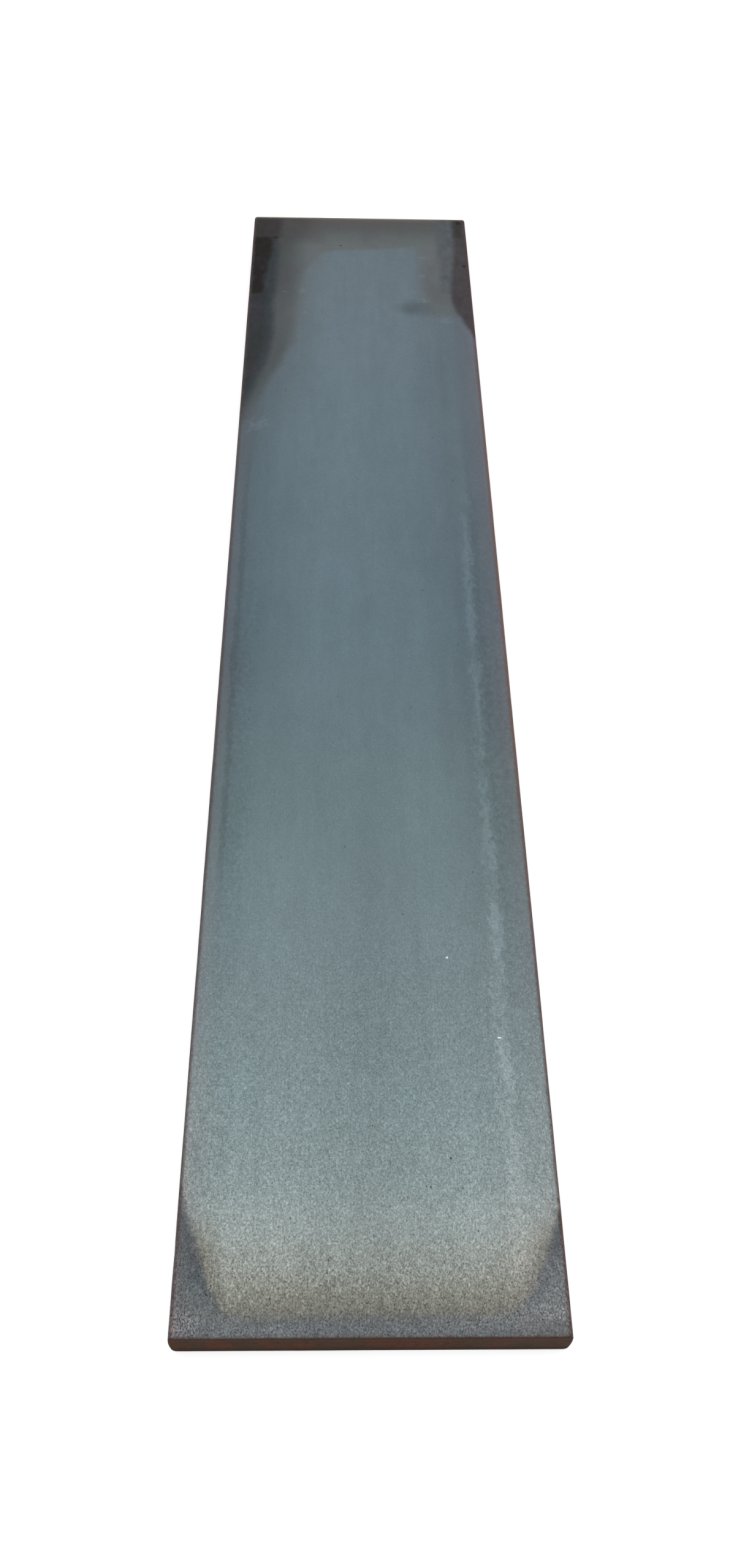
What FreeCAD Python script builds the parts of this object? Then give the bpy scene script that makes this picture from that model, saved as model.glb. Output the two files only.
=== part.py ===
import FreeCAD, Part

import math
import os

# Hot-rolled steel flat bar, sawn to length: one solid piece of stock.
#
# Sizes are in millimetres. +X runs across the width, +Y along the length, which is the
# rolling direction, and +Z through the thickness. The origin is the centre of the wide
# face that the bar lies on.

# Driving dimensions, each one a size that the stock is ordered by or can be gauged for.
WIDTH = 100.0  # across the widest points of the two rolled edges
THICKNESS = 12.0  # between the two wide faces
LENGTH = 500.0  # between the two sawn ends
CORNER_RADIUS = 1.2  # where a wide face rolls over into a narrow edge
EDGE_CROWN = 0.4  # how far a narrow edge bulges out at mid thickness
SAWN_ARRIS = 0.4  # radius left round each sawn end once its burr is dressed off

NODE = "flat_bar"
FOLDER = "parts"


def edge_radius():
    """Radius of the shallow arc that bulges by the crown over the full thickness."""
    half = THICKNESS / 2
    return (half**2 + EDGE_CROWN**2) / (2 * EDGE_CROWN)


def quarter_points():
    """Points round one quarter of the section, as (x, z) from the section's middle.

    They run from the wide face round the corner arc, and then along the edge arc to the
    widest point. The corner arc meets the wide face and the edge arc without a crease.
    """
    edge_x = WIDTH / 2 - edge_radius()
    corner_z = THICKNESS / 2 - CORNER_RADIUS
    corner_x = edge_x + math.sqrt((edge_radius() - CORNER_RADIUS) ** 2 - corner_z**2)
    upright = math.pi / 2
    meeting = math.atan2(corner_z, corner_x - edge_x)

    def on_corner(angle):
        return (
            corner_x + CORNER_RADIUS * math.cos(angle),
            corner_z + CORNER_RADIUS * math.sin(angle),
        )

    def on_edge(angle):
        return edge_x + edge_radius() * math.cos(angle), edge_radius() * math.sin(angle)

    corner = [on_corner(upright), on_corner((upright + meeting) / 2), on_corner(meeting)]
    return corner + [on_edge(meeting / 2), on_edge(0)]


def placed(across, over):
    """The quarter's points as vectors on the plane y = 0, mirrored by the two signs."""
    middle = THICKNESS / 2
    return [FreeCAD.Vector(across * x, 0, middle + over * z) for x, z in quarter_points()]


def section():
    """The rolled section as a face: two flats, four corners and two crowned edges."""
    edges = []
    for over in (1, -1):
        left = placed(-1, over)
        right = placed(1, over)
        edges.append(Part.LineSegment(left[0], right[0]).toShape())
        for points in (left, right):
            edges.append(Part.Arc(*points[:3]).toShape())
            edges.append(Part.Arc(*points[2:]).toShape())
    return Part.Face(Part.Wire(Part.__sortEdges__(edges)))


def lies_across(edge):
    """True for an edge that bounds a sawn end, false for one that runs lengthwise."""
    start, *_, end = edge.Vertexes
    return abs(start.Y - end.Y) < LENGTH / 2


def flat_bar():
    """The section run along the rolling direction, with its two sawn ends dressed."""
    start = section()
    start.translate(FreeCAD.Vector(0, -LENGTH / 2, 0))
    bar = start.extrude(FreeCAD.Vector(0, LENGTH, 0))
    return bar.makeFillet(SAWN_ARRIS, [edge for edge in bar.Edges if lies_across(edge)])


os.makedirs(FOLDER, exist_ok=True)
bar = flat_bar()
bar.exportStep(os.path.join(FOLDER, NODE + ".step"))

print(f"{NODE}: {len(bar.Solids)} solid, valid {bar.isValid()}")
print(f"volume {bar.Volume / 1000:.2f} cm3, area {bar.Area / 100:.2f} cm2")
print(f"edge arc radius {edge_radius():.2f} mm")
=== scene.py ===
# %% [markdown]
# # A hot-rolled steel flat bar
#
# The object is one length of hot-rolled steel flat, 100 x 12 mm in section and half a metre
# long, lying on a pale floor. It came out of the mill with a blue-grey skin of iron oxide,
# called mill scale, and it was sawn to length afterwards. Heat, water and handling have left
# straw, slate and brown stains at both ends, and rust on the cut faces and the long edges.
#
# The solid model holds the exact sizes. This file loads it as a fixed frame, remakes the
# bar's skin as a finer mesh with the mill's slight unevenness, and gives it its finish.

# %% Load the frame
import math

import bpy
from mathutils import Matrix, Vector


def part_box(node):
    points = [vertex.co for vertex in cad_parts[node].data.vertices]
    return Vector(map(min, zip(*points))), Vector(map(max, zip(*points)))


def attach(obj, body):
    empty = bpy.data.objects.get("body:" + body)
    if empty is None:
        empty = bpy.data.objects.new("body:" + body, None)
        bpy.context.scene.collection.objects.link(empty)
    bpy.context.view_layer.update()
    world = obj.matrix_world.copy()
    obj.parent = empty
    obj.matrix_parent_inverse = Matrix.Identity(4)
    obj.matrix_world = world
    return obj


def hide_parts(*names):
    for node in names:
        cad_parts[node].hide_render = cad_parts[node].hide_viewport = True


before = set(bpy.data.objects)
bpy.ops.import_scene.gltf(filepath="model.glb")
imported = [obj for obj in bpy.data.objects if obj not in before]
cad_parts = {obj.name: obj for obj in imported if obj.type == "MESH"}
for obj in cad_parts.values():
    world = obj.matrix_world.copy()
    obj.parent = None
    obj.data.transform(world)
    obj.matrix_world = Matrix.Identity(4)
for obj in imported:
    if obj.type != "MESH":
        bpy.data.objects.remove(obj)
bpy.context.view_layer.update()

low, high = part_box("flat_bar")
WIDTH, LENGTH, THICKNESS = high - low
MM = 0.001
WIDE, LONG, THICK = (side / MM for side in (WIDTH, LENGTH, THICKNESS))
print(f"bar: {WIDE:.1f} wide, {LONG:.1f} long, {THICK:.1f} mm thick")

# %% [markdown]
# ## Arithmetic on sockets
#
# Both the shape and the finish are worked out by node trees. Wiring dozens of Math nodes by
# hand is hard to read back, so a socket is wrapped in a small class on which plain Python
# arithmetic works. Writing `1 - mask` then adds the Math node that does it. Every other node
# comes from one method, `Graph.add`, which sets the node up first and then feeds its sockets.


# %% Wrap a socket so that Python operators add nodes
class Wire:
    """An output socket that takes part in ordinary arithmetic."""

    def __init__(self, graph, socket):
        self.graph = graph
        self.socket = socket

    def math(self, operation, *others):
        """Join this socket and others in a Math node, or in Vector Math if one is a vector."""
        values = [self, *others]
        kinds = [value.socket.type for value in values if isinstance(value, Wire)]
        kind = "ShaderNodeVectorMath" if "VECTOR" in kinds else "ShaderNodeMath"
        return self.graph.add(kind, {"operation": operation}, values)

    def __add__(self, other):
        return self.math("ADD", other)

    __radd__ = __add__

    def __mul__(self, other):
        return self.math("MULTIPLY", other)

    __rmul__ = __mul__

    def __sub__(self, other):
        return self.math("SUBTRACT", other)

    def __rsub__(self, other):
        return self.graph.add("ShaderNodeMath", {"operation": "SUBTRACT"}, [other, self])

    def __truediv__(self, other):
        return self.math("DIVIDE", other)

    def __abs__(self):
        return self.math("ABSOLUTE")

    def xyz(self):
        """The three parts of a vector, each as a wire of its own."""
        node = self.graph.add("ShaderNodeSeparateXYZ", {}, [self]).socket.node
        return [Wire(self.graph, socket) for socket in node.outputs]


def found(sockets, key):
    """A socket by its place in the row, its identifier or its name."""
    if isinstance(key, int):
        return sockets[key]
    named = [s for s in sockets if s.identifier == key] or [s for s in sockets if s.name == key]
    return named[0]


def fill_stops(ramp, stops):
    """Give a colour ramp its stops, each a place from 0 to 1 and a colour."""
    while len(ramp.elements) < len(stops):
        ramp.elements.new(1.0)
    for element, (place, colour) in zip(ramp.elements, stops):
        element.position = place
        element.color = colour


# %% Wrap a node tree
class Graph:
    """A node tree whose nodes are added by expressions."""

    def __init__(self, tree):
        self.tree = tree

    def add(self, kind, settings=None, values=(), output=0):
        """Add a node of a type: its settings first, then the values or links of its sockets."""
        node = self.tree.nodes.new(kind)
        for name, setting in (settings or {}).items():
            if name == "stops":
                fill_stops(node.color_ramp, setting)
            else:
                setattr(node, name, setting)
        pairs = values.items() if isinstance(values, dict) else enumerate(values)
        for key, value in pairs:
            self.feed(found(node.inputs, key), value)
        return Wire(self, found(node.outputs, output)) if node.outputs else node

    def feed(self, socket, value):
        """Link a wire to a socket, or set the socket's own value."""
        if isinstance(value, Wire):
            self.tree.links.new(value.socket, socket)
        elif hasattr(socket.default_value, "__len__") and not hasattr(value, "__len__"):
            socket.default_value = [value] * len(socket.default_value)
        else:
            socket.default_value = value


# %% [markdown]
# ## The shape of the bar
#
# A rolled flat isn't a sharp box. Its corners are rounded by the rolls, its long edges bulge
# a little, and the saw's burr was filed off both ends. A bevelled cube would do for the
# outline, but its big faces would be single polygons with nothing to carry the unevenness
# that catches the light. So a Geometry Nodes tree starts from a finely divided box, moves
# its points onto the real section by a rule, and then presses the mill's relief into them.
#
# The rule spends points where the shape turns. A few rings of cells fall on each rounded
# corner, and the rest are spread evenly over the flats.

# %% Name the sizes of the section and of the grid
# The frame gives the overall box, so the solid's own roundings are named again here.
CORNER = 1.2 * MM
CROWN = 0.4 * MM
ARRIS = 0.4 * MM
CORNER_RINGS = 3
ARRIS_RINGS = 2
CELLS_ACROSS = 80
CELLS_ALONG = 400
CELLS_THROUGH = 12
print(f"flat cells: {(WIDTH - 2 * CORNER) / MM / (CELLS_ACROSS - 2 * CORNER_RINGS):.2f} mm across")
print(f"flat cells: {(LENGTH - 2 * ARRIS) / MM / (CELLS_ALONG - 2 * ARRIS_RINGS):.2f} mm along")


# %% Spread the grid's points and round the corners
def spread(step, cells, half, rounding, rings):
    """Where a grid line goes: close together in the rounding, even over the rest."""
    inwards = cells / 2 - abs(step)
    close = inwards.math("MINIMUM", rings) * (rounding / rings)
    even = (inwards - rings).math("MAXIMUM", 0) * ((half - rounding) / (cells / 2 - rings))
    return half - close - even


def quarter_round(beyond, other):
    """Share by which a square corner's point is drawn in to lie on the round."""
    size = (beyond * beyond + other * other).math("SQRT")
    return beyond.math("MAXIMUM", other) / size


def on_the_section(position, size):
    """A point of the divided box, moved onto the rolled section with dressed ends."""
    step_x, step_y, step_z = position.xyz()
    half_x = size["Width"] / 2
    half_y = size["Length"] / 2
    half_z = size["Thickness"] / 2
    corner = size["Corner radius"]
    arris = size["Arris radius"]
    x = spread(step_x, CELLS_ACROSS, half_x, corner, CORNER_RINGS)
    y = spread(step_y, CELLS_ALONG, half_y, arris, ARRIS_RINGS)
    z = spread(step_z, CELLS_THROUGH, half_z, corner, CORNER_RINGS)

    out_x = (x - (half_x - corner)).math("MAXIMUM", 0)
    out_z = (z - (half_z - corner)).math("MAXIMUM", 0)
    turn = (out_x * out_x + out_z * out_z).math("SQRT")
    depth = corner - out_x.math("MAXIMUM", out_z)
    from_end = half_y - y
    arris_in = (arris - depth).math("MAXIMUM", 0)
    arris_along = (arris - from_end).math("MAXIMUM", 0)
    drawn_in = 1 - quarter_round(arris_in, arris_along)
    reach = corner - depth - arris_in * drawn_in
    y = y - arris_along * drawn_in

    x = x.math("MINIMUM", half_x - corner) + out_x / turn * reach
    z = z.math("MINIMUM", half_z - corner) + out_z / turn * reach
    level = z / half_z
    x = x * (1 - level * level * size["Edge crown"] / half_x)
    parts = [x * step_x.math("SIGN"), y * step_y.math("SIGN"), z * step_z.math("SIGN") + half_z]
    return position.graph.add("ShaderNodeCombineXYZ", {}, parts)


# %% [markdown]
# ## The mill's relief
#
# Rolling leaves long, shallow waves that run with the bar, and scale that was pressed in and
# fell out leaves small pits. The long edges only touch the edging rolls, so they are
# rougher. Corners that were knocked against other bars have small dents. All of it is noise,
# and it only goes inwards, so the bar keeps its gauge and lies flat. Anything finer than the
# grid's cells of 1.3 mm is left to the material's bump.


# %% Name the depths of the relief and press it in
WAVE_DEPTH = 0.06 * MM
SKIN_DEPTH = 0.03 * MM
PIT_DEPTH = 0.07 * MM
RAGGED_DEPTH = 0.14 * MM
DENT_DEPTH = 0.12 * MM


def noise(graph, place, feature, stretch=1.0, detail=2.0, seed=0.0, roughness=0.5):
    """Noise from 0 to 1 with features of a size in millimetres, drawn out along the bar."""
    scale = 1 / (feature * MM)
    spaced = place * (scale, scale / stretch, scale)
    values = {"Vector": spaced, "W": seed, "Scale": 1.0, "Detail": detail, "Roughness": roughness}
    return graph.add("ShaderNodeTexNoise", {"noise_dimensions": "4D"}, values)


def eased(graph, value, start, end):
    """0 before start and 1 after end, with a smooth ramp between them."""
    settings = {"interpolation_type": "SMOOTHSTEP"}
    return graph.add("ShaderNodeMapRange", settings, [value, start, end, 0.0, 1.0])


def relief(graph, place, size):
    """How far each point is pressed in, in metres."""
    x, y, z = place.xyz()
    waves = noise(graph, place, 22, stretch=5, seed=size["Seed"]) * WAVE_DEPTH
    skin = noise(graph, place, 3.2, stretch=1.6, detail=3, seed=size["Seed"] + 3) * SKIN_DEPTH
    pitted = noise(graph, place, 5, stretch=2.5, seed=size["Seed"] + 7)
    pits = eased(graph, pitted, 0.64, 0.78) * PIT_DEPTH

    edge = eased(graph, abs(x), WIDTH / 2 - 1.5 * CORNER, WIDTH / 2 - 0.5 * CORNER)
    ragged = noise(graph, place, 4, stretch=4, detail=3, seed=size["Seed"] + 11) * RAGGED_DEPTH
    level = abs(z - THICKNESS / 2)
    corner = edge * eased(graph, level, THICKNESS / 2 - 1.6 * CORNER, THICKNESS / 2 - CORNER / 2)
    knocked = noise(graph, place, 9, stretch=1.4, seed=size["Seed"] + 17)
    dents = eased(graph, knocked, 0.62, 0.74) * corner * DENT_DEPTH
    return waves + skin + pits + edge * ragged + dents


# %% Build the Geometry Nodes tree
def bar_tree(finish):
    """A tree that makes the bar from its named sizes."""
    tree = bpy.data.node_groups.new("rolled_flat", "GeometryNodeTree")
    sizes = ("Width", "Length", "Thickness", "Corner radius", "Edge crown", "Arris radius")
    for name in sizes + ("Seed",):
        tree.interface.new_socket(name=name, in_out="INPUT", socket_type="NodeSocketFloat")
    tree.interface.new_socket(name="Bar", in_out="OUTPUT", socket_type="NodeSocketGeometry")
    graph = Graph(tree)
    entry = graph.add("NodeGroupInput").socket.node
    size = {name: Wire(graph, found(entry.outputs, name)) for name in sizes + ("Seed",)}

    counts = (CELLS_ACROSS, CELLS_ALONG, CELLS_THROUGH)
    box = graph.add("GeometryNodeMeshCube", {}, [counts] + [count + 1 for count in counts])
    position = graph.add("GeometryNodeInputPosition")
    shaped = {"Geometry": box, "Position": on_the_section(position, size)}
    bar = graph.add("GeometryNodeSetPosition", {}, shaped)
    normal = graph.add("GeometryNodeInputNormal")
    pressed = {"Geometry": bar, "Offset": normal * (relief(graph, position, size) * -1)}
    bar = graph.add("GeometryNodeSetPosition", {}, pressed)
    bar = graph.add("GeometryNodeSetShadeSmooth", {}, {"Geometry": bar})
    bar = graph.add("GeometryNodeRealizeInstances", {}, [bar])
    bar = graph.add("GeometryNodeSetMaterial", {}, {"Geometry": bar, "Material": finish})
    graph.add("NodeGroupOutput", {}, [bar])
    return tree


# %% Run the tree and keep its result as a plain mesh
def made_by(tree, name, values):
    """The tree's mesh as an object at the origin, with no modifier left on it."""
    bench = bpy.data.objects.new(name + "_bench", bpy.data.meshes.new(name + "_bench"))
    bpy.context.scene.collection.objects.link(bench)
    modifier = bench.modifiers.new("shape", "NODES")
    modifier.node_group = tree
    for item in tree.interface.items_tree:
        if item.in_out == "INPUT":
            modifier[item.identifier] = values[item.name]
    ready = bench.evaluated_get(bpy.context.evaluated_depsgraph_get())
    mesh = bpy.data.meshes.new_from_object(ready)
    bpy.data.objects.remove(bench)
    mesh.name = name
    piece = bpy.data.objects.new(name, mesh)
    bpy.context.scene.collection.objects.link(piece)
    return piece


# %% [markdown]
# ## Colours and masks for the finish
#
# The finish is many thin layers: clean scale, streaks, heat stains, rust, specks. Painting
# an image would tie it to one mesh, so each layer is a mask worked out from where a point is
# on the bar, and it mixes its own colour over what lies below. Places are in millimetres,
# from the left edge and from the near end, as a maker would mark them out with a rule.


# %% Colours as a paint chart gives them
def paint(red, green, blue):
    """A colour from 0 to 255 a channel, turned into the linear light that Blender mixes."""
    channels = [value / 255 for value in (red, green, blue)]
    linear = [c / 12.92 if c <= 0.04045 else ((c + 0.055) / 1.055) ** 2.4 for c in channels]
    return (*linear, 1.0)


def over(graph, below, above, mask):
    """One colour over another, by a mask from 0 to 1."""
    values = {"Factor_Float": mask, "A_Color": below, "B_Color": above}
    settings = {"data_type": "RGBA"}
    return graph.add("ShaderNodeMix", settings, values, output="Result_Color")


def times(graph, colour, other):
    """Two colours multiplied, channel by channel."""
    values = {"Factor_Float": 1.0, "A_Color": colour, "B_Color": other}
    settings = {"data_type": "RGBA", "blend_type": "MULTIPLY"}
    return graph.add("ShaderNodeMix", settings, values, output="Result_Color")


def brighter(graph, colour, gain):
    """A colour made lighter or darker by a gain that varies over the surface."""
    grey = graph.add("ShaderNodeCombineColor", {}, [gain, gain, gain])
    return times(graph, colour, grey)


# %% Where a point is on the bar
class Place:
    """A point's distances over the bar in millimetres, and the noises that fray a stain.

    Each stain that takes the shine off the scale adds itself to `dull`, which starts at 0.
    """

    def __init__(self, graph):
        self.graph = graph
        self.spot = graph.add("ShaderNodeTexCoord", output="Object")
        x, y, z = (self.spot * (1 / MM)).xyz()
        self.x = x
        self.y = y
        self.z = z
        self.left = x + WIDE / 2
        self.near = y + LONG / 2
        self.far = LONG / 2 - y
        self.rim = WIDE / 2 - abs(x)
        self.drift = self.noise(16, detail=2, seed=2.0) - 0.5
        self.fray = self.noise(1.6, detail=3, seed=5.0, roughness=0.6) - 0.5
        self.blot = self.noise(5, detail=3, seed=71.0) - 0.5
        self.dull = self.x * 0

    def eased(self, value, start, end):
        """0 before start and 1 after end."""
        return eased(self.graph, value, start, end)

    def noise(self, feature, **options):
        """Noise at this point, with features of a size in millimetres."""
        return noise(self.graph, self.spot, feature, **options)

    def ramp(self, value, reach, stops):
        """A colour that changes with a distance, from stops given in millimetres."""
        scaled = [(distance / reach, colour) for distance, colour in stops]
        return self.graph.add("ShaderNodeValToRGB", {"stops": scaled}, [value / reach])

    def over(self, below, above, mask):
        """One colour over another, by a mask."""
        return over(self.graph, below, above, mask)


def beside(across, along, start, end):
    """How far a point is to the right of a line from start to end, in millimetres."""
    run = end[0] - start[0]
    rise = end[1] - start[1]
    reach = math.hypot(run, rise)
    return (across - start[0]) * (rise / reach) - (along - start[1]) * (run / reach)


def inside(rounding, *sides):
    """How deep a point is inside several straight sides that meet in rounded corners."""
    depth = sides[0]
    for side in sides[1:]:
        depth = depth.math("SMOOTH_MIN", side, rounding)
    return depth


def either(rounding, first, second):
    """How deep a point is inside one or the other of two sides."""
    return first.math("SMOOTH_MAX", second, rounding)


# %% [markdown]
# ## The clean mill scale
#
# Scale is a thin layer of iron oxide. It is blue-grey and faintly metallic, lighter and
# greener where it is thinner. Its tone drifts along the bar, runs in faint streaks with the
# rolling direction and darkens towards the rolled edges. A colour ramp along the length
# gives the drift, and it also holds painted sheen: the scale is painted lighter towards the
# near end, where the overhead light's sheen fell. Three more give the change across the
# width, by the near end, a third of the way along and over the far half, and each blends
# into the next. Where the bar slid on others, a ragged light line was worn near its right
# edge, and some scale flaked off.


# %% Tone of the scale along and across the bar
def tone_with_painted_sheen(p):
    """The colour of clean scale: it drifts along the bar, with painted sheen towards the near end."""
    # Painted sheen: the stops at the near end are partly lighter because the overhead light's sheen
    # fell there.
    stops = [
        (0, paint(132, 138, 135)),
        (20, paint(137, 144, 140)),
        (28, paint(139, 150, 149)),
        (42, paint(129, 143, 144)),
        (60, paint(124, 140, 142)),
        (100, paint(118, 134, 138)),
        (160, paint(110, 128, 132)),
        (240, paint(104, 123, 132)),
        (400, paint(107, 124, 134)),
        (450, paint(107, 122, 131)),
        (500, paint(101, 114, 120)),
    ]
    return p.ramp(p.near, LONG, stops)


def banding(p):
    """Half the colour gain from the left edge to the right one, which changes along the bar.

    A stop is a place, a level and how much redder than the rest. A ramp's sliders stop at
    one, so the gain is halved here and doubled again where it is used.
    """

    def gain(stops):
        colours = [(place, (level * red / 2, level / 2, level / 2, 1)) for place, level, red in stops]
        return p.ramp(p.left + p.fray * 2.2 + p.drift * 2, WIDE, colours)

    near_end = gain([
        (1, 1.10, 1.20), (3, 1.00, 1.08), (7, 1.05, 1.02), (11, 1.06, 1.00), (14, 1.16, 1.00),
        (18, 1.09, 1.00), (27, 1.10, 1.01), (40, 1.01, 1.00), (52, 0.97, 1.00),
        (66, 1.03, 1.00), (78, 1.09, 1.01), (84, 1.05, 1.02), (88, 1.24, 1.05),
        (92, 1.10, 1.04), (97, 1.04, 1.07),
    ])
    third = gain([
        (1, 0.84, 1.18), (4, 0.90, 1.05), (6, 0.85, 0.98), (10, 0.94, 0.97), (14, 1.03, 0.99),
        (33, 1.06, 1.00), (50, 0.98, 1.00), (67, 1.03, 1.00), (76, 1.00, 1.00),
        (84, 0.91, 1.01), (88.5, 0.98, 1.02), (91, 0.91, 1.02), (94, 0.84, 1.05),
        (97, 0.85, 1.12), (99, 0.84, 1.20),
    ])
    far_half = gain([
        (1, 0.73, 1.22), (4, 0.73, 1.12), (6.5, 0.73, 1.02), (11, 0.84, 0.98),
        (18, 0.91, 1.00), (27, 0.97, 1.00), (34, 1.01, 1.00), (60, 0.99, 1.00),
        (70, 0.97, 1.00), (80, 0.88, 1.02), (84, 0.82, 1.02), (88, 0.84, 1.03),
        (91.5, 0.76, 1.07), (95, 0.75, 1.16), (98.5, 0.77, 1.32),
    ])
    towards_far = p.over(third, far_half, p.eased(p.near, 130, 215))
    return p.over(near_end, towards_far, p.eased(p.near, 55, 150))


def streaks(p):
    """Faint light and dark lines that run with the rolling direction, and soft clouds."""
    wide = p.noise(7, stretch=12, detail=3, seed=21.0) - 0.5
    brushed = p.noise(2.2, stretch=7, detail=3, seed=22.0) - 0.5
    cloud = p.noise(26, stretch=1.3, detail=4, seed=23.0) - 0.5
    mottle = p.noise(4, stretch=1.8, detail=4, seed=24.0, roughness=0.6) - 0.5
    return wide * 0.16 + brushed * 0.12 + cloud * 0.22 + mottle * 0.16


def worn_lines(p):
    """A ragged light line near the right edge, a dark one near the left, and loose scale."""
    wander = (p.noise(60, detail=1, seed=25.0) - 0.5) * 5
    ragged = (p.noise(1.8, stretch=1.8, detail=3, seed=26.0, roughness=0.7) - 0.5) * 11
    kept = p.eased(p.noise(4, stretch=2.5, detail=3, seed=28.0), 0.38, 0.56)
    middle = p.eased(p.near, 30, 70) * p.eased(p.near, 345, 270)
    light = p.eased(abs(p.left - 88 + wander + ragged), 2.1, 0.7) * middle * kept
    shadow = p.eased(abs(p.left - 91 + wander + ragged), 1.5, 0.6) * middle
    left_line = p.eased(p.near, 110, 150) * p.eased(p.near, 340, 280)
    dark = p.eased(abs(p.left - 5.4 + wander * 0.4 + ragged * 0.4), 1.4, 0.5) * left_line
    sides = p.eased(abs(p.left - 9 + wander), 6, 2) + p.eased(p.left + wander, 80, 88)
    loose = sides * p.eased(p.near, 340, 200)
    flaked = p.noise(1.5, stretch=1.3, detail=3, seed=27.0, roughness=0.7) - 0.5
    return light * 0.19 - shadow * 0.08 - dark * 0.14 + loose * flaked * 0.65


def clean_scale(p, colour):
    """The tone with its bands, streaks and lines laid on."""
    banded = times(p.graph, colour, banding(p))
    return brighter(p.graph, banded, 2 * (1 + streaks(p) + worn_lines(p)))


# %% [markdown]
# ## Stains at the near end
#
# Steel that was hot when water or a cold stop met its end keeps a record of it: a slate band
# along the cut and up both corners, then a straw-coloured arc, and then clean scale again.
# The arc's outline is a row of straight sides with rounded meetings, so a smooth minimum of
# their distances draws it. The straw fades with a like distance, and the slate is darkest
# where it meets the straw and hazy in the right corner.


# %% Slate band and straw arc
def near_end(p, colour):
    """The near end's stains over the colour of the clean scale."""
    left_side = beside(p.left, p.near, (9.3, 11), (0, 37.5))
    left_cut = beside(p.left, p.near, (13.3, 4), (3.3, 14))
    right_side = beside(p.left, p.near, (100, 32), (94.5, 18))
    right_cut = beside(p.left, p.near, (97, 14.2), (83, 3.8))
    sides = inside(5, left_side, left_cut, right_side, right_cut)
    frayed = p.fray * 3.4
    depth = inside(6, p.near - 4.2, sides) + frayed + p.drift * 1.5
    tone_depth = inside(8, p.near - 4.2, sides * 2.5) + frayed
    straw = p.ramp(
        tone_depth.math("MAXIMUM", 0),
        24,
        [
            (0, paint(96, 99, 98)),
            (2, paint(108, 108, 102)),
            (4.5, paint(117, 118, 110)),
            (8, paint(126, 129, 121)),
            (13, paint(136, 140, 134)),
            (20, paint(138, 146, 143)),
        ],
    )
    band = p.ramp(
        p.near,
        24,
        [(0.3, paint(84, 86, 87)), (2, paint(94, 98, 100)), (6, paint(96, 100, 101)),
         (12, paint(99, 107, 109)), (22, paint(94, 101, 104))],
    )
    faded = p.eased(depth, 7, 18).math("MAXIMUM", p.eased(p.near, 19, 34) * 0.9)
    colour = p.over(straw, colour, faded)
    colour = p.over(band, colour, p.eased(depth, -1.7, 1.7))
    rim = p.eased(depth, -5.5, -0.8) * p.eased(depth, 1.8, -0.6) * p.eased(p.near, 4, 14)
    colour = p.over(colour, paint(74, 80, 84), rim * 0.6)
    tinted = p.eased(p.left, 3.5, 0.5) * p.eased(depth, 0, -2)
    colour = p.over(colour, paint(92, 84, 88), tinted * 0.3)
    hazy = p.eased(p.left, 86, 95) * p.eased(p.near, 28, 12) * p.eased(p.near, 3, 6)
    return p.over(colour, paint(120, 126, 128), hazy * 0.4)


# %% [markdown]
# ## Stains at the far end
#
# The far end has lain in the wet. Clean scale reaches into it as a broad tongue, with a
# grey-brown band round it, a slate shadow down the left edge, an almost black brown patch
# inside that, and a purple-brown wedge at the right edge. Each is an area between straight
# lines, marked out in millimetres from the left edge and from the far end. Noise frays their
# outlines and tinges them here and there.


# %% Tongue of clean scale and the band round it
def far_band(p, colour):
    """The grey-brown band round the tongue of clean scale."""
    crown = beside(p.left, p.far, (76, 24.0), (33, 28.5))
    cut = beside(p.left, p.far, (33, 29), (23, 47))
    left_side = beside(p.left, p.far, (23.5, 47), (22, 109))
    left_foot = beside(p.left, p.far, (22.5, 93), (3, 149))
    left = either(3, left_side, left_foot) * 0.5
    right_side = beside(p.left, p.far, (78.5, 62), (77.5, 28)) + p.blot * 9
    right = either(5, right_side, p.far - 78 + p.blot * 10) * 0.45
    tongue = inside(5, crown, cut, left, right) + p.drift * 2 + p.fray * 1.2
    band = p.ramp(
        p.far,
        150,
        [
            (1, paint(97, 93, 88)),
            (4, paint(83, 85, 83)),
            (9, paint(84, 88, 88)),
            (15, paint(92, 98, 99)),
            (24, paint(101, 108, 109)),
            (40, paint(101, 109, 111)),
            (75, paint(98, 106, 108)),
            (110, paint(90, 98, 100)),
            (147, paint(84, 92, 96)),
        ],
    )
    veil = p.eased(tongue, 10, 0) * p.eased(p.left, 42, 28) * 0.35
    colour = p.over(colour, band, veil)
    colour = p.over(band, colour, p.eased(tongue, -1.6, 1.4))
    shade = p.eased(p.left + p.drift * 5, 27, 14) * p.eased(tongue, 1, -2)
    colour = p.over(colour, paint(66, 72, 74), shade * 0.5)
    deeper = p.eased(p.left + p.drift * 5, 30, 12) * p.eased(p.far, 80, 46)
    colour = p.over(colour, paint(56, 60, 60), deeper * 0.65)
    corner = inside(10, 36 - p.left, 25 - p.far) + p.drift * 5
    colour = p.over(colour, paint(62, 62, 60), p.eased(corner, -2, 14) * 0.6)
    tinge = p.eased(p.noise(13, stretch=1.5, detail=4, seed=73.0), 0.46, 0.62)
    return p.over(colour, paint(88, 80, 88), tinge * p.eased(tongue, 2, -2) * 0.3)


# %% Dark patches along both far edges
def soft_patch(p, colour, depth, paint_colour, blend, strength):
    """One stain whose edge is ragged and as soft as the blend says. It takes the gloss too."""
    ragged = depth + p.drift * 3 + p.fray * 1.6 + p.blot * 2.5
    mask = p.eased(ragged, -blend, blend) * strength
    p.dull = p.dull.math("MAXIMUM", mask)
    return p.over(colour, paint_colour, mask)


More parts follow.
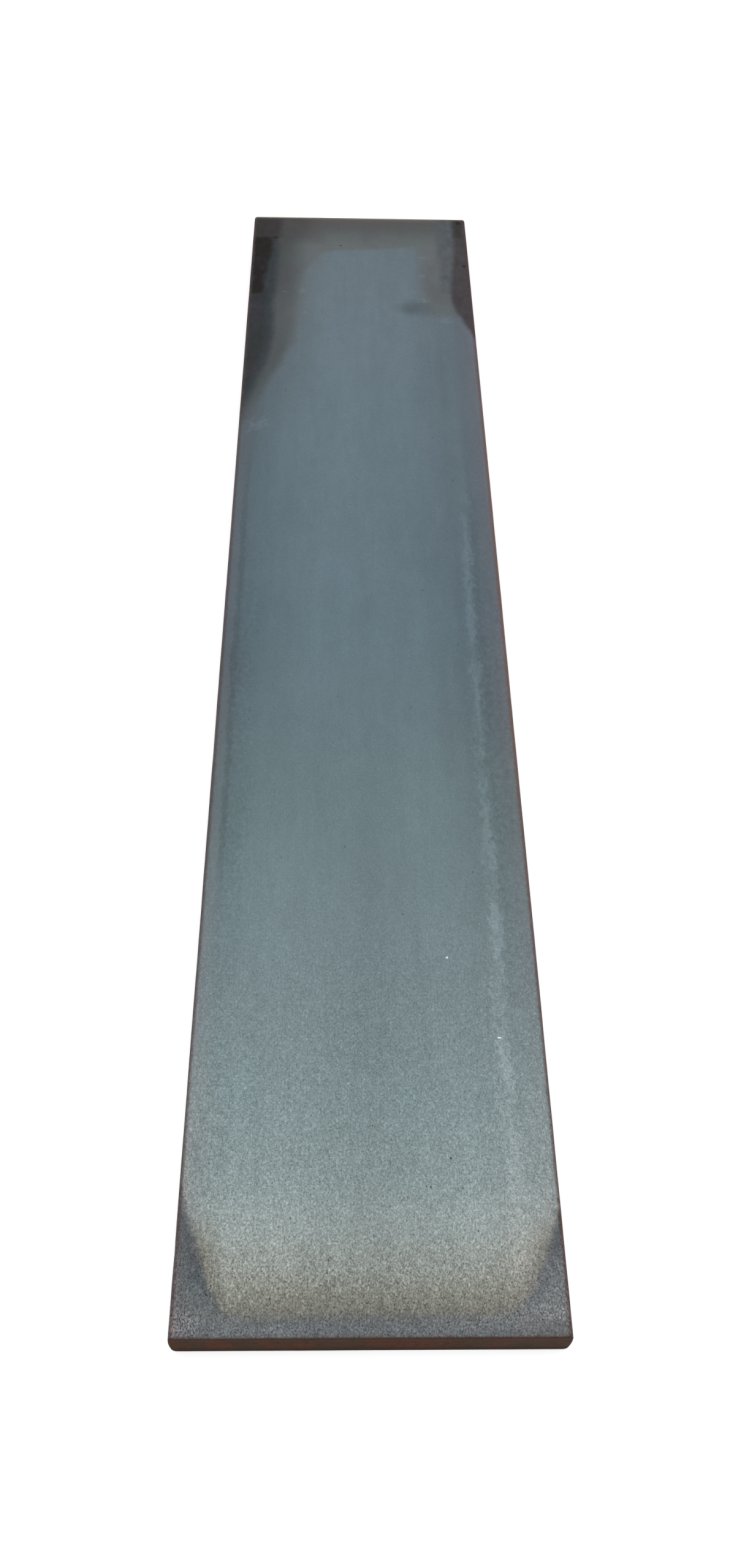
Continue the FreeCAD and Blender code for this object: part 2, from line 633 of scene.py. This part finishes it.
def far_patches(p, colour):
    """The slate shadow, the black-brown patch, the brown corners and the purple wedge."""
    shadow_foot = beside(p.left, p.far, (0, 147), (14, 101))
    shadow = inside(7, 12 - p.left, shadow_foot, p.far - 8)
    colour = soft_patch(p, colour, shadow, paint(56, 63, 67), 2.2, 0.88)
    core_foot = beside(p.left, p.far, (-1, 141), (11, 95))
    core = inside(6, 8.5 - p.left, core_foot, p.far - 58)
    colour = soft_patch(p, colour, core, paint(50, 50, 51), 2.2, 0.6)

    corner = inside(3, 13 - p.left, 18 - p.far, p.far - 2)
    colour = soft_patch(p, colour, corner, paint(57, 54, 51), 3, 0.85)
    patch_side = beside(p.left, p.far, (6.2, 62), (9.8, 20))
    patch = inside(4, p.far - 17, 62 - p.far, patch_side)
    colour = soft_patch(p, colour, patch, paint(36, 32, 31), 1.3, 0.95)

    strip = inside(4, p.left - 86, 60 - p.far)
    colour = soft_patch(p, colour, strip, paint(93, 99, 104), 2.5, 0.85)
    wedge_side = beside(p.left, p.far, (94.8, 0), (90.5, 62))
    wedge_foot = beside(p.left, p.far, (89.5, 66), (100, 95))
    wedge = inside(5, wedge_side, wedge_foot)
    colour = soft_patch(p, colour, wedge, paint(76, 73, 75), 1.5, 1.0)
    tip = inside(2, p.left - 93.5, 98 - p.left, 16 - p.far)
    colour = soft_patch(p, colour, tip, paint(56, 52, 52), 1.6, 0.75)

    across = (p.left - 74) * 0.75
    along = p.far - 72
    smudge = 4.5 - (across * across + along * along).math("SQRT")
    colour = soft_patch(p, colour, smudge, paint(78, 88, 91), 3.4, 0.5)
    tinge = p.eased(p.noise(9, stretch=1.5, detail=4, seed=75.0), 0.48, 0.62)
    return p.over(colour, paint(74, 66, 76), p.dull * tinge * 0.35)


# %% [markdown]
# ## Rims, specks and grain
#
# The rounded corners carry less scale, so they have begun to rust: brown on the right rim,
# darker on the left. Scale itself isn't smooth to the eye. It shows a fine, wormy grain of
# half a millimetre or so, with stray dark dots and a few flecks where the scale has flaked
# and bare metal shines. Towards the near end the grain is painted with more contrast, as
# painted glints of the light there, and along the cut and in the left corner a painted
# frost of glints lightens it.


# %% Rims
def rims(p, colour):
    """The thin lines of bare or rusting steel round the wide face."""
    right = p.eased(p.left, WIDE / 2, WIDE / 2 + 1)
    near_share = p.eased(p.near, 220, 60)
    thin = p.eased(p.rim + p.fray * 0.8 + near_share * 0.3, 2.2, 0.9)
    rusty = p.over(paint(112, 82, 74), paint(88, 60, 52), near_share)
    rusty = p.over(rusty, paint(88, 68, 68), p.eased(p.far, 190, 90))
    bare = p.over(paint(80, 68, 68), rusty, right)
    colour = p.over(colour, bare, thin * 0.8)
    cut = p.eased(p.near + p.fray * 0.4, 0.75, 0.25)
    colour = p.over(colour, paint(72, 58, 52), cut * 0.9)
    far_cut = p.eased(p.far + p.fray * 0.8, 1.6, 0.8)
    return p.over(colour, paint(138, 120, 108), far_cut * 0.9)


# %% Dots and flecks
# Each spot is its distances from the left edge and from the near end, and then its radius. A
# fleck also has its length along the bar as a share of its width.
DARK_DOTS = [(41, 476.5, 0.7), (71.5, 45, 0.45), (65.9, 37.4, 0.4), (64.8, 37.5, 0.25),
             (74.3, 37, 0.3), (77.7, 26, 0.3), (55, 23, 0.25), (50.9, 54, 0.3)]
DARK_BLOTS = [(96, 496.5, 1.2), (97.2, 461, 0.9), (11, 482.5, 1.3), (7, 476, 0.8), (3, 468, 0.9)]
BARE_FLECKS = [(73.2, 105, 0.5, 1.0), (86.8, 79.6, 0.75, 0.45)]
SCUFFS = [(24, 440, 2.4), (25.5, 424, 1.4), (16, 439, 1.3), (74, 440, 2.0), (78, 434, 1.8),
          (87, 419, 3.2), (78, 453, 2.4), (79, 467, 2.2), (8, 347, 5.0), (66, 463, 1.4)]


def from_spot(p, left, near, flat=1.0):
    """Distance from a named spot, in millimetres, stretched across if flat is below one."""
    across = p.left - left
    along = (p.near - near) / flat
    return (across * across + along * along).math("SQRT")


def spotted(p, colour):
    """The few dots and flecks that stand out, and many faint ones."""
    for left, near, size in DARK_DOTS:
        away = from_spot(p, left, near)
        colour = p.over(colour, paint(38, 46, 54), p.eased(away, size, size * 0.4) * 0.85)
    for left, near, size in DARK_BLOTS:
        away = from_spot(p, left, near) + p.fray * 2
        colour = p.over(colour, paint(30, 26, 26), p.eased(away, size * 1.5, size * 0.3) * 0.7)
    for left, near, size in SCUFFS:
        away = from_spot(p, left, near) + p.fray * size * 5
        colour = p.over(colour, paint(124, 136, 141), p.eased(away, size, size * 0.2) * 0.3)
    for left, near, size, flat in BARE_FLECKS:
        away = from_spot(p, left, near, flat)
        colour = p.over(colour, paint(225, 232, 232), p.eased(away, size, size * 0.4))
    spaced = p.spot * (1 / (3.5 * MM), 1 / (5 * MM), 1 / (3.5 * MM))
    cells = p.graph.add("ShaderNodeTexVoronoi", {}, {"Vector": spaced, "Scale": 1.0})
    lot = Wire(p.graph, cells.socket.node.outputs["Color"]).xyz()
    dots = p.eased(cells + lot[0] * 0.06, 0.13, 0.05)
    dark = dots * p.eased(lot[1], 0.45, 0.9)
    light = dots * p.eased(lot[2], 0.75, 0.95)
    colour = p.over(colour, paint(54, 64, 70), dark * 0.55)
    return p.over(colour, paint(150, 160, 164), light * 0.5)


# %% Grain and painted glints
DARKEST_GAIN = 0.25
LIGHTEST_GAIN = 2.2


def grain_with_painted_glints(p, colour):
    """The wormy grain with painted glints: painted strongest at the near end, and frosted near the
    cut.
    """
    # Painted glints: the grain's contrast is raised towards the near end, where the light glinted off
    # it.
    grain_and_glint_levels = [(0, 0.75), (7, 1.0), (15, 1.0), (25, 0.74), (50, 0.66), (90, 0.50), (112, 0.36),
             (140, 0.22), (200, 0.17), (500, 0.15)]
    strength = p.ramp(p.near, LONG, [(at, (level, level, level, 1)) for at, level in grain_and_glint_levels])
    coarse = p.noise(0.72, stretch=1.8, detail=3, seed=31.0, roughness=0.65) - 0.5
    fine = p.noise(0.4, stretch=1.3, detail=2, seed=32.0, roughness=0.7) - 0.5
    worms = abs(p.noise(1.0, stretch=1.3, detail=1, seed=33.0) - 0.5) - 0.07
    # Painted glints: a bright frosted speckle in the near left corner and along the near cut, where
    # light glinted off the rough scale.
    corner = p.eased(inside(3, 8 - p.left, 7 - p.near) + p.fray * 4, -1, 2.5)
    climb = p.eased(p.left, 66, 96)
    height = p.near + p.fray * 5 - climb * 4.5
    glints_along_cut = p.eased(height, 5, 2.2) * p.eased(height + climb * 1.5, -1, 2) * (0.22 + climb * 0.14)
    painted_frost_glints = corner.math("MAXIMUM", glints_along_cut) * p.eased(p.near, 0.6, 1.3)
    pores = p.eased(p.noise(0.8, detail=2, seed=34.0, roughness=0.6), 0.36, 0.27)
    gain = 1.02 + strength * (coarse * 1.3 + fine * 3.0 + worms * 2.6 - pores * 0.35)
    gain = gain + painted_frost_glints * (fine * 3.5 + p.eased(fine, 0.02, 0.11) * 0.8 + 0.22)
    mottle = p.noise(2.6, stretch=1.4, detail=4, seed=35.0, roughness=0.65) - 0.5
    gain = gain + p.dull * (p.blot * 0.5 + mottle * 0.6)
    gain = gain.math("MAXIMUM", DARKEST_GAIN).math("MINIMUM", LIGHTEST_GAIN)
    return brighter(p.graph, colour, gain)


# %% [markdown]
# ## Rust on the cut ends, the long edges and the underside
#
# The saw cut through to bare steel, which has rusted to an even brown. The long edges were
# rolled hot, so they keep some scale between patches of rust. The underside is plain scale,
# with a bloom of rust where water was held against the rack.


# %% Rust
def rust(p, patches, seed):
    """Brown rust: olive and red-brown in patches, darker in its pores."""
    colour = p.over(paint(62, 42, 24), paint(78, 42, 22), p.eased(patches, 0.4, 0.62))
    pores = p.eased(p.noise(1.4, detail=3, seed=seed, roughness=0.6), 0.48, 0.7)
    return p.over(colour, paint(36, 20, 10), pores * 0.6)


def cut_end(p):
    """Rust on a saw cut: blotches that run from face to face, darkest along the bottom."""
    place = p.graph.add("ShaderNodeCombineXYZ", {}, [p.x * 0.16, p.y * 0.01, p.z * 0.05])
    values = {"Vector": place, "Scale": 1.0, "Detail": 3.0}
    blotches = p.graph.add("ShaderNodeTexNoise", {}, values)
    colour = rust(p, blotches, 51.0)
    grey = p.eased(p.left + p.drift * 12, 68, 92)
    colour = p.over(colour, paint(70, 57, 46), grey * 0.5)
    upper = p.eased(p.z + p.fray * 2, 9.5, 11.4)
    colour = p.over(colour, paint(74, 58, 54), upper * 0.6)
    lower = p.eased(p.z + p.fray * 2, 5, 1)
    return p.over(colour, paint(34, 17, 5), lower * 0.85)


def other_faces(p, colour, tone):
    """The finish of every face but the top one, whose tone the underside shares."""
    brown = rust(p, p.noise(9, detail=3, seed=41.0), 42.0)
    on_top = p.eased(p.z, THICK - 1.0, THICK - 0.35)
    underneath = p.eased(p.z, 0.9, 0.2)
    bloom = p.eased(p.noise(26, stretch=1.8, detail=4, seed=45.0, roughness=0.6), 0.5, 0.66)
    below = p.over(brighter(p.graph, tone, 0.9 + p.blot * 0.4), brown, bloom * 0.75)
    scale = p.over(paint(72, 72, 78), paint(90, 78, 78), p.noise(5, stretch=6, seed=47.0))
    taken = p.eased(p.noise(5, stretch=3, detail=4, seed=49.0, roughness=0.6), 0.42, 0.56)
    edge = p.over(scale, brown, taken * 0.8)
    edge = p.over(edge, below, underneath)
    colour = p.over(edge, colour, on_top)
    on_end = p.eased(abs(p.y), LONG / 2 - 0.35, LONG / 2 - 0.12)
    return p.over(colour, cut_end(p), on_end), on_top, on_end, taken


# %% [markdown]
# ## Gloss and fine relief
#
# Scale is a smooth skin, so it keeps a dull shine. Rust has none. The bump carries what is
# finer than the mesh: the grain of the scale, and the lines that the saw left across the
# cut ends.


# %% The finish as a whole
SCALE_ROUGHNESS = 0.47
SCALE_METALLIC = 0.32
SCALE_SPECULAR = 0.1
DULLED_ROUGHNESS = 0.35
DULLED_METALLIC = 0.30
GRAIN_BUMP = 0.05
SAW_BUMP = 0.12


def mill_scale_steel():
    """The bar's one material, from its layers."""
    material = bpy.data.materials.new("mill_scale_steel")
    material.use_nodes = True
    material.node_tree.nodes.clear()
    graph = Graph(material.node_tree)
    p = Place(graph)
    # This tone carries painted sheen towards the near end, and the underside shares it.
    tone = tone_with_painted_sheen(p)
    colour = clean_scale(p, near_end(p, tone))
    colour = far_patches(p, far_band(p, colour))
    colour = grain_with_painted_glints(p, spotted(p, rims(p, colour)))
    colour, on_top, on_end, taken = other_faces(p, colour, tone)

    bare = (on_end + (1 - on_top) * taken * 0.8).math("MINIMUM", 1)
    gloss = p.noise(4, stretch=5, detail=3, seed=61.0) - 0.5
    dull = bare.math("MAXIMUM", p.dull * on_top)
    roughness = SCALE_ROUGHNESS + gloss * 0.14 + dull * DULLED_ROUGHNESS
    metallic = SCALE_METALLIC - dull * DULLED_METALLIC

    grain = p.noise(0.9, detail=3, seed=63.0, roughness=0.6) * GRAIN_BUMP
    sawn = graph.add("ShaderNodeCombineXYZ", {}, [p.x * 0.03, p.y * 0, p.z * 2.2 + p.x * 0.04])
    lines = graph.add("ShaderNodeTexNoise", {}, {"Vector": sawn, "Scale": 1.0, "Detail": 3.0})
    height = grain + lines * on_end * SAW_BUMP
    bump = {"Strength": 1.0, "Distance": MM, "Height": height}
    normal = graph.add("ShaderNodeBump", {}, bump)
    values = {
        "Base Color": colour,
        "Metallic": metallic,
        "Roughness": roughness,
        "Specular IOR Level": SCALE_SPECULAR,
        "Normal": normal,
    }
    shader = graph.add("ShaderNodeBsdfPrincipled", {}, values)
    graph.add("ShaderNodeOutputMaterial", {}, {"Surface": shader})
    print(f"finish: {len(material.node_tree.nodes)} nodes")
    return material


# %% Make the bar
finish = mill_scale_steel()
sizes = {
    "Width": WIDTH,
    "Length": LENGTH,
    "Thickness": THICKNESS,
    "Corner radius": CORNER,
    "Edge crown": CROWN,
    "Arris radius": ARRIS,
    "Seed": 4.0,
}
bar = made_by(bar_tree(finish), "rolled_flat", sizes)
bar.data.calc_loop_triangles()
print(f"bar: {len(bar.data.vertices)} points, {len(bar.data.loop_triangles)} triangles")
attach(bar, "root")
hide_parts("flat_bar")

# %% [markdown]
# ## Floor, light and camera
#
# Steel shows what is around it, so the surroundings stay plain: a pale floor, an even white
# sky and one soft lamp over the near end, which gives the scale its sheen there; more of that
# sheen is painted into the scale's tone. The white of the background comes from the floor and
# the sky themselves, through Light Path, and not from more light on the bar. The floor still
# takes the bar's shadow.


# %% Floor and sky
FLOOR_HALF = 6.0
FLOOR_TONE = 0.88
FLOOR_LIFT = 0.5
SKY_LEVEL = 0.57


def seen_directly(graph):
    """1 for rays that show the surroundings: to the camera, in gloss or through glass."""
    path = graph.add("ShaderNodeLightPath").socket.node
    rays = ("Is Camera Ray", "Is Glossy Ray", "Is Transmission Ray")
    camera, gloss, glass = (Wire(graph, found(path.outputs, ray)) for ray in rays)
    return camera.math("MAXIMUM", gloss).math("MAXIMUM", glass)


def pale_floor():
    """A plain pale floor that fades to white for the eye and keeps the shadow."""
    material = bpy.data.materials.new("pale_floor")
    material.use_nodes = True
    material.node_tree.nodes.clear()
    graph = Graph(material.node_tree)
    tone = (FLOOR_TONE, FLOOR_TONE, FLOOR_TONE, 1)
    pale = graph.add("ShaderNodeBsdfDiffuse", {}, {"Color": tone})
    lift = graph.add("ShaderNodeEmission", {}, {"Strength": seen_directly(graph) * FLOOR_LIFT})
    both = graph.add("ShaderNodeAddShader", {}, [pale, lift])
    graph.add("ShaderNodeOutputMaterial", {}, {"Surface": both})
    return material


def even_sky(level):
    """A sky that lights the bar at a level, and looks white itself."""
    world = bpy.data.worlds.new("even_sky")
    world.use_nodes = True
    world.node_tree.nodes.clear()
    graph = Graph(world.node_tree)
    strength = seen_directly(graph) * (1 - level) + level
    values = {"Color": (1, 1, 1, 1), "Strength": strength}
    sky = graph.add("ShaderNodeBackground", {}, values)
    graph.add("ShaderNodeOutputWorld", {}, {"Surface": sky})
    return world


corners = [(x * FLOOR_HALF, y * FLOOR_HALF, 0) for x, y in ((-1, -1), (1, -1), (1, 1), (-1, 1))]
floor_mesh = bpy.data.meshes.new("floor")
floor_mesh.from_pydata(corners, [], [(0, 1, 2, 3)])
floor_mesh.materials.append(pale_floor())
floor = bpy.data.objects.new("floor", floor_mesh)
bpy.context.scene.collection.objects.link(floor)
bpy.context.scene.world = even_sky(SKY_LEVEL)
print(f"floor: {2 * FLOOR_HALF:.0f} m square, sky lights the bar at {SKY_LEVEL}")


# %% Lamp and camera
def soft_lamp(name, place, target, side, power):
    """A square lamp at a place, turned to face a target."""
    light = bpy.data.lights.new(name, "AREA")
    light.shape = "SQUARE"
    light.size = side
    light.energy = power
    lamp = bpy.data.objects.new(name, light)
    aim = Vector(target) - Vector(place)
    lamp.matrix_world = Matrix.Translation(place) @ aim.to_track_quat("-Z", "Y").to_matrix().to_4x4()
    bpy.context.scene.collection.objects.link(lamp)
    print(f"{name}: {aim.length:.2f} m from its target")


soft_lamp("lamp_over_near_end", (0.0, -0.30, 1.30), (0.0, -0.15, 0.0), side=0.7, power=5.0)

EYE = Vector((-0.0085, -0.3267, 0.3450))
TURN = math.radians(-2.354)
TILT = math.radians(36.307)
ROLL = math.radians(2.172)
SENSOR_MM = 36
LENS_MM = 29.588
view = bpy.data.cameras.new("camera")
view.sensor_width = SENSOR_MM
view.lens = LENS_MM
view.clip_start = 0.01
camera = bpy.data.objects.new("camera", view)
turned = Matrix.Rotation(TURN, 4, "Z") @ Matrix.Rotation(TILT, 4, "X") @ Matrix.Rotation(ROLL, 4, "Z")
camera.matrix_world = Matrix.Translation(EYE) @ turned
bpy.context.scene.collection.objects.link(camera)
bpy.context.scene.camera = camera
bpy.context.scene.view_settings.view_transform = "Standard"
print(f"camera: {EYE.z - THICKNESS:.3f} m above the bar's top face")
